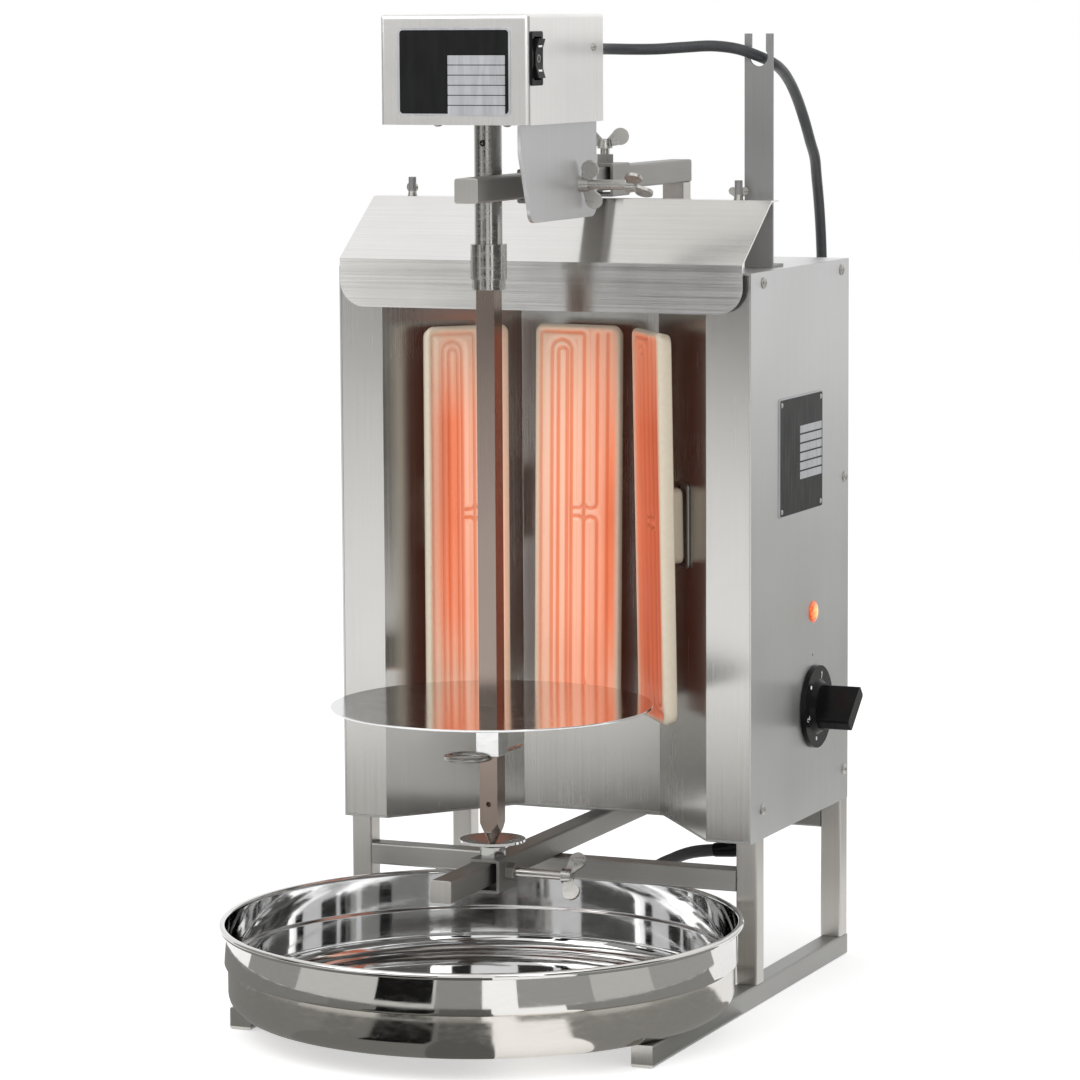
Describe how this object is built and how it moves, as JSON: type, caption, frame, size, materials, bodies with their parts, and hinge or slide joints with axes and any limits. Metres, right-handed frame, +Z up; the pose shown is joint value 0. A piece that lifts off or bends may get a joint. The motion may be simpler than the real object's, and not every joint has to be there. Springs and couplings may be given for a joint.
{
  "type": "vertical rotisserie grill",
  "caption": "Table-top electric vertical grill: upright ceramic heaters in a folded reflector housing, a turning spit on a motor head, and a round drip pan.",
  "frame": {"origin": "centre of the bounding box of the object without its cords, on the plane that its rails stand on", "axes": "+Z up; -Y towards the open front where the spit and the pan are; +X towards the side panel with the knob"},
  "size_m": [0.3459, 0.5708, 0.624],
  "materials": {
    "stainless_tube": "brushed stainless square tube, welded",
    "stainless_sheet": "brushed stainless sheet",
    "polished_steel": "bright polished stainless",
    "turned_steel": "turned and ground stainless",
    "screw_steel": "bright zinc or stainless fasteners",
    "ceramic": "glazed cream ceramic that glows orange when hot",
    "holder_steel": "dark heat-blued sheet",
    "black_plastic": "black moulded plastic",
    "cable_rubber": "black cable sheath",
    "lamp_lens": "translucent orange lens",
    "white_insulator": "white insulator",
    "motor_body": "cast gearbox and motor can",
    "rocker_plastic": "black rocker"
  },
  "bodies": {
    "stand": {"left_rail": "stainless_tube", "right_rail": "stainless_tube", "front_legs": "stainless_tube", "rear_legs": "stainless_tube", "front_crossbar": "stainless_tube", "rear_crossbar": "stainless_tube", "lower_arm": "stainless_tube", "rear_post": "stainless_tube", "top_arm": "stainless_tube", "tube_plugs": "stainless_tube", "bottom_plate": "stainless_sheet", "reflector": "stainless_sheet", "left_side_panel": "stainless_sheet", "right_side_panel": "stainless_sheet", "back_panel": "stainless_sheet", "top_cover": "stainless_sheet", "panel_screws": "screw_steel", "hood": "stainless_sheet", "hood_bracket": "stainless_sheet", "cable_fork": "stainless_sheet", "left_heater": "ceramic", "middle_heater": "ceramic", "right_heater": "ceramic", "heater_holders": "holder_steel", "energy_regulator": "white_insulator", "indicator_lamp": "lamp_lens", "terminal_block": "white_insulator", "mains_gland": "black_plastic", "mains_cord": "cable_rubber", "mains_coil": "cable_rubber", "mains_cord_end": "cable_rubber", "mains_plug": "black_plastic", "lead_gland": "black_plastic", "motor_lead": "cable_rubber"},
    "carriage": {"motor_cover": "stainless_sheet", "motor_base": "stainless_sheet", "cheek_plate": "stainless_sheet", "gear_motor": "motor_body", "motor_screws": "screw_steel", "rocker_frame": "black_plastic", "carriage_sleeve": "turned_steel", "box_gland": "black_plastic"},
    "rocker": {"rocker": "rocker_plastic"},
    "carriage_screw": {"carriage_screw": "screw_steel"},
    "lock_nut": {"lock_nut": "screw_steel"},
    "stop": {"stop_sleeve": "turned_steel"},
    "stop_bolt": {"stop_bolt": "screw_steel"},
    "foot": {"foot_sleeve": "turned_steel", "pivot_cup": "polished_steel"},
    "foot_screw": {"foot_screw": "screw_steel"},
    "drive": {"drive_tube": "turned_steel", "output_shaft": "turned_steel"},
    "spit": {"spit": "turned_steel"},
    "disc": {"meat_disc": "polished_steel"},
    "pin": {"ring_pin": "polished_steel"},
    "knob": {"knob": "black_plastic"},
    "pan": {"drip_pan": "polished_steel"},
    "left_hood_nut": {"left_hood_nut": "screw_steel"},
    "right_hood_nut": {"right_hood_nut": "screw_steel"}
  },
  "joints": [
    {"name": "carriage_slide", "type": "slide", "parent": "stand", "child": "carriage", "axis": [0, 1, 0], "range_m": [-0.055, 0.005], "deforming": ["motor_lead"]},
    {"name": "foot_slide", "type": "slide", "parent": "stand", "child": "foot", "axis": [0, 1, 0], "range_m": [-0.055, 0.005]},
    {"name": "stop_slide", "type": "slide", "parent": "stand", "child": "stop", "axis": [0, 1, 0], "range_m": [-0.055, 0.09]},
    {"name": "spit_spin", "type": "hinge", "parent": "carriage", "child": "drive", "pos_m": [-0.00385, -0.0471, 0.5], "axis": [0, 0, 1], "continuous": true},
    {"name": "spit_lift", "type": "slide", "parent": "drive", "child": "spit", "axis": [0, 0, 1], "range_m": [0, 0.012]},
    {"name": "disc_lift", "type": "slide", "parent": "spit", "child": "disc", "axis": [0, 0, 1], "range_m": [0, 0.22]},
    {"name": "pin_pull", "type": "slide", "parent": "spit", "child": "pin", "axis": [0, -1, 0], "range_m": [0, 0.06]},
    {"name": "carriage_screw_turn", "type": "hinge", "parent": "carriage", "child": "carriage_screw", "pos_m": [0.05765, -0.0091, 0.5195], "axis": [1, 0, 0], "range_deg": [-180, 180]},
    {"name": "lock_nut_turn", "type": "hinge", "parent": "carriage", "child": "lock_nut", "pos_m": [0.04565, -0.0091, 0.5195], "axis": [1, 0, 0], "range_deg": [-180, 180]},
    {"name": "stop_bolt_turn", "type": "hinge", "parent": "stop", "child": "stop_bolt", "pos_m": [0.01465, 0.0959, 0.54], "axis": [0, 0, 1], "range_deg": [-180, 180]},
    {"name": "foot_screw_turn", "type": "hinge", "parent": "foot", "child": "foot_screw", "pos_m": [0.02765, -0.0471, 0.094], "axis": [1, 0, 0], "range_deg": [-180, 180]},
    {"name": "knob_turn", "type": "hinge", "parent": "stand", "child": "knob", "pos_m": [0.14765, 0.1479, 0.1767], "axis": [1, 0, 0], "range_deg": [0, 270]},
    {"name": "rocker_tilt", "type": "hinge", "parent": "carriage", "child": "rocker", "pos_m": [0.04715, -0.09185, 0.59765], "axis": [0, 1, 0], "range_deg": [-9, 9]},
    {"name": "pan_slide", "type": "slide", "parent": "stand", "child": "pan", "axis": [0, -1, 0], "range_m": [0, 0.25]},
    {"name": "left_hood_nut_turn", "type": "hinge", "parent": "stand", "child": "left_hood_nut", "pos_m": [-0.11535, 0.0834, 0.51], "axis": [0, 0, 1], "range_deg": [-180, 180]},
    {"name": "right_hood_nut_turn", "type": "hinge", "parent": "stand", "child": "right_hood_nut", "pos_m": [0.11065, 0.0834, 0.51], "axis": [0, 0, 1], "range_deg": [-180, 180]}
  ],
  "couplings": [
    {"joint": "foot_slide", "follows": "carriage_slide", "ratio": 1}
  ]
}
